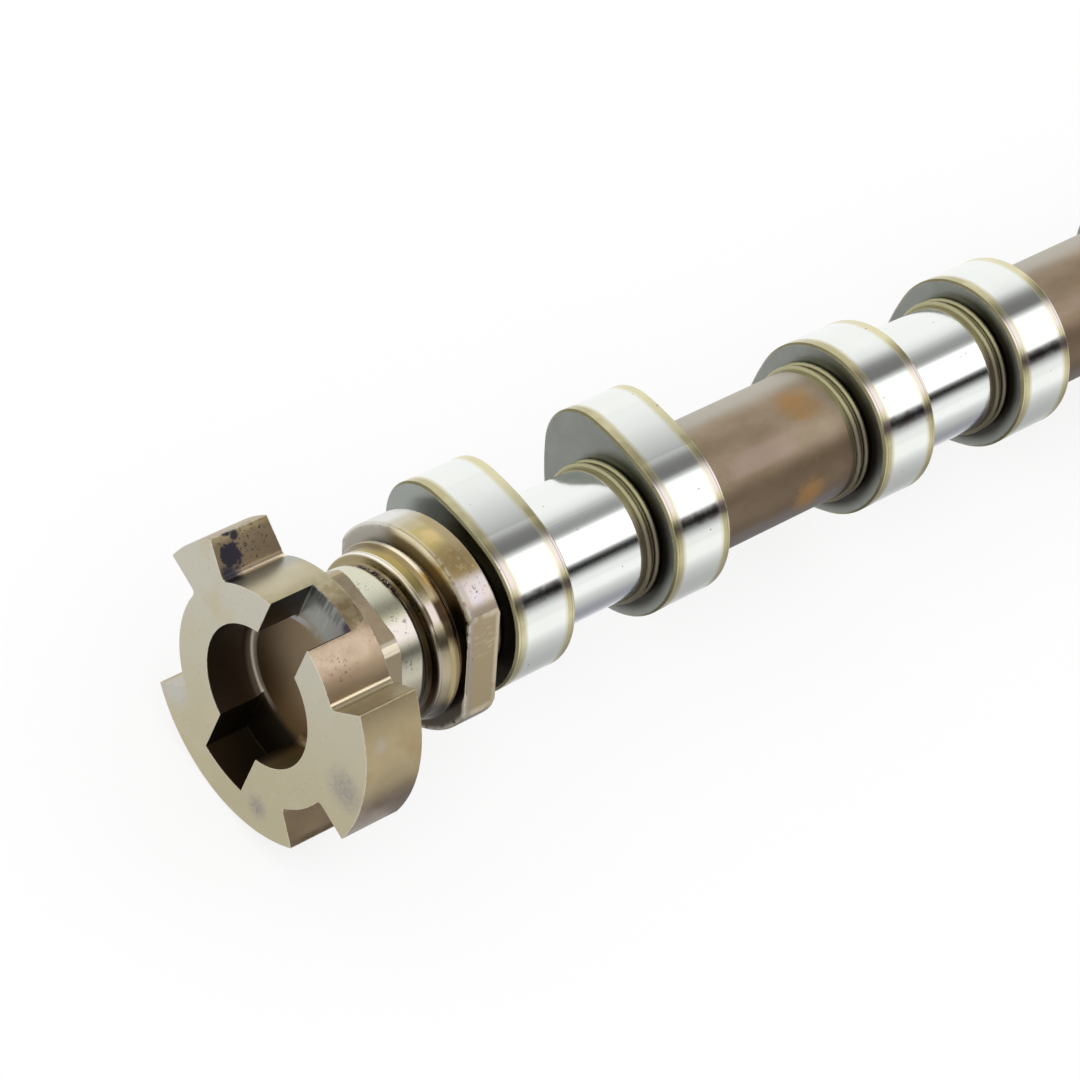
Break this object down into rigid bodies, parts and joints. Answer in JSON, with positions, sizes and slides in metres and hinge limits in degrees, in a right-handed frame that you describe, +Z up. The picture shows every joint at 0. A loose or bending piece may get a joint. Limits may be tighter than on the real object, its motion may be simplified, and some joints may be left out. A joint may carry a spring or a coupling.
{
  "type": "camshaft",
  "caption": "Assembled camshaft with pressed-on cams on a tube, ground bearing lands, and a claw signal wheel with a slotted drive recess at one end.",
  "frame": {"origin": "centre of the claw wheel's front face, on the shaft's axis", "axes": "+X along the shaft from the claw wheel to the plain end, +Z up as it lies, in line with the slot's open end"},
  "size_m": [0.3517, 0.0507, 0.0453],
  "materials": {
    "claw_steel": "machined and oiled, with a ground neck",
    "tube_steel": "oxide brown, ground bright at the bearing lands",
    "cam_steel": "ground running surface, grey faces"
  },
  "bodies": {
    "root": {"end_piece": "claw_steel", "shaft_tube": "tube_steel", "cam_lobe_1": "cam_steel", "cam_lobe_2": "cam_steel", "cam_lobe_3": "cam_steel", "cam_lobe_4": "cam_steel", "cam_lobe_5": "cam_steel", "cam_lobe_6": "cam_steel", "cam_lobe_7": "cam_steel", "cam_lobe_8": "cam_steel"}
  },
  "joints": []
}
